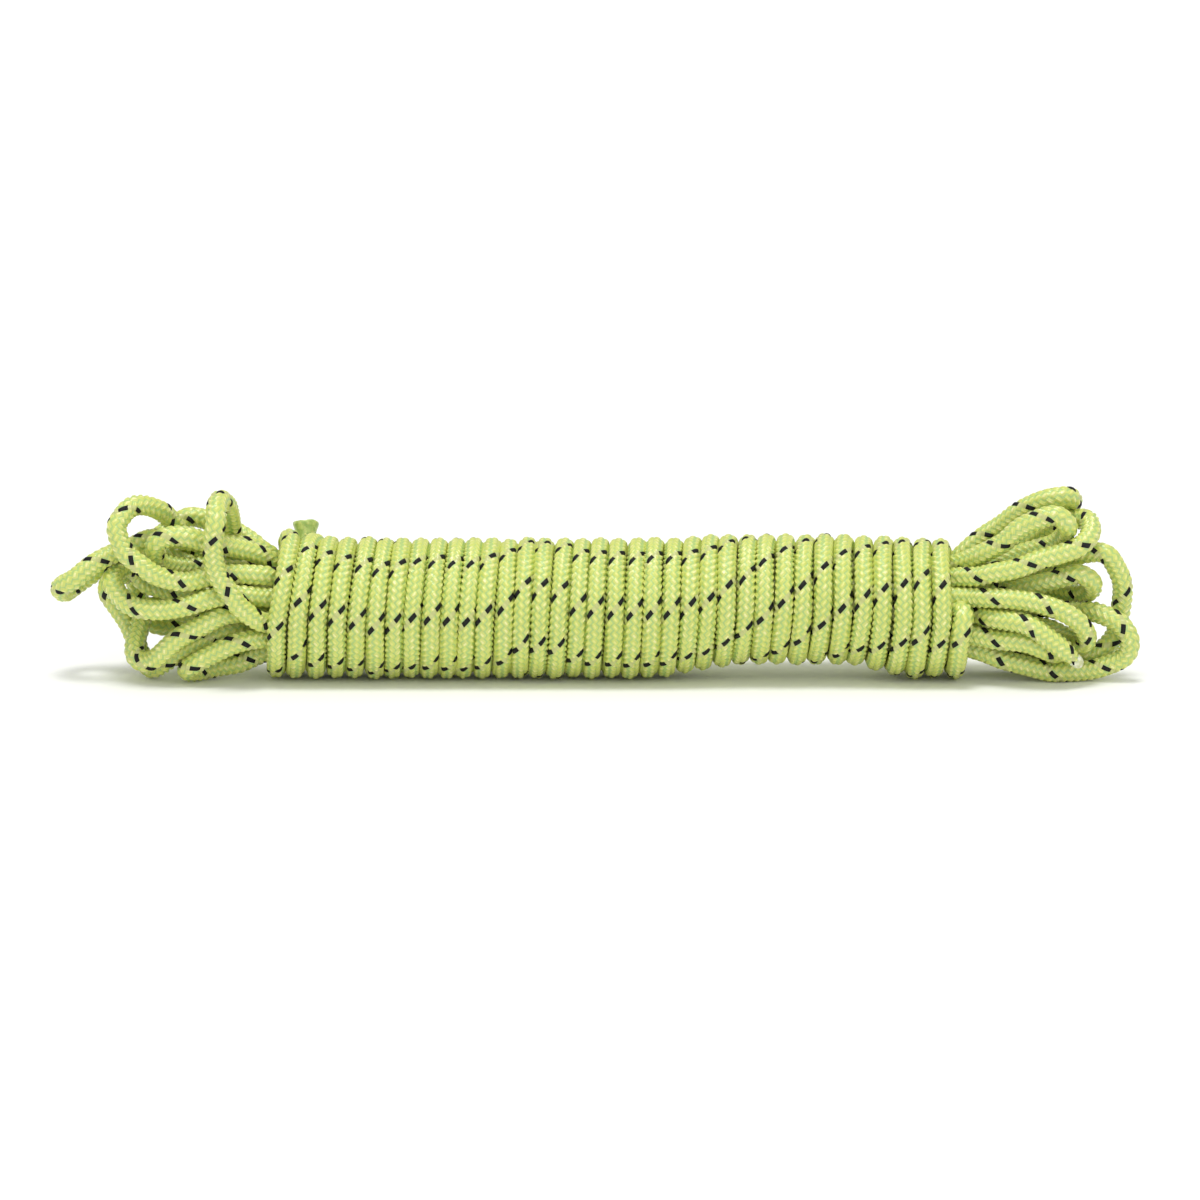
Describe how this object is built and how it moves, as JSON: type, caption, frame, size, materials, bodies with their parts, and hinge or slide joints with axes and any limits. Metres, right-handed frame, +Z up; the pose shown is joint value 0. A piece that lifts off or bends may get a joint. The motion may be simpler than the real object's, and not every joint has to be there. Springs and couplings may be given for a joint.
{
  "type": "hank of braided cord",
  "caption": "Hank of yellow-green braided climbing cord with a black tracer: lengthwise loops bound by one close spiral wrap, with loose loops at both ends.",
  "frame": {"origin": "on the surface that the hank rests on, under the middle of its bounding box", "axes": "+X along the hank towards the end with the low sealed tip, +Z up, -Y towards the front"},
  "size_m": [0.3257, 0.0442, 0.0588],
  "materials": {
    "braided_sheath": "matte braided synthetic yarn, yellow-green, one black tracer yarn",
    "core_yarns": "matte straight yarns, off-white",
    "sealed_end": "melted and hardened yarn"
  },
  "bodies": {
    "root": {"wrapping_coil": "braided_sheath", "lead_in": "braided_sheath", "left_bight_1": "braided_sheath", "left_bight_2": "braided_sheath", "left_bight_3": "braided_sheath", "left_bight_4": "braided_sheath", "left_bight_5": "braided_sheath", "left_bight_6": "braided_sheath", "left_bight_7": "braided_sheath", "left_bight_8": "braided_sheath", "left_bight_9": "braided_sheath", "right_bight_1": "braided_sheath", "right_bight_2": "braided_sheath", "right_bight_3": "braided_sheath", "right_bight_4": "braided_sheath", "right_bight_5": "braided_sheath", "right_bight_6": "braided_sheath", "right_bight_7": "braided_sheath", "right_bight_8": "braided_sheath", "end_b_run": "braided_sheath", "end_a_sheath": "braided_sheath", "end_a_core": "core_yarns", "end_a_seal": "sealed_end", "end_b_sheath": "braided_sheath", "end_b_core": "core_yarns", "end_b_seal": "sealed_end"}
  },
  "joints": []
}
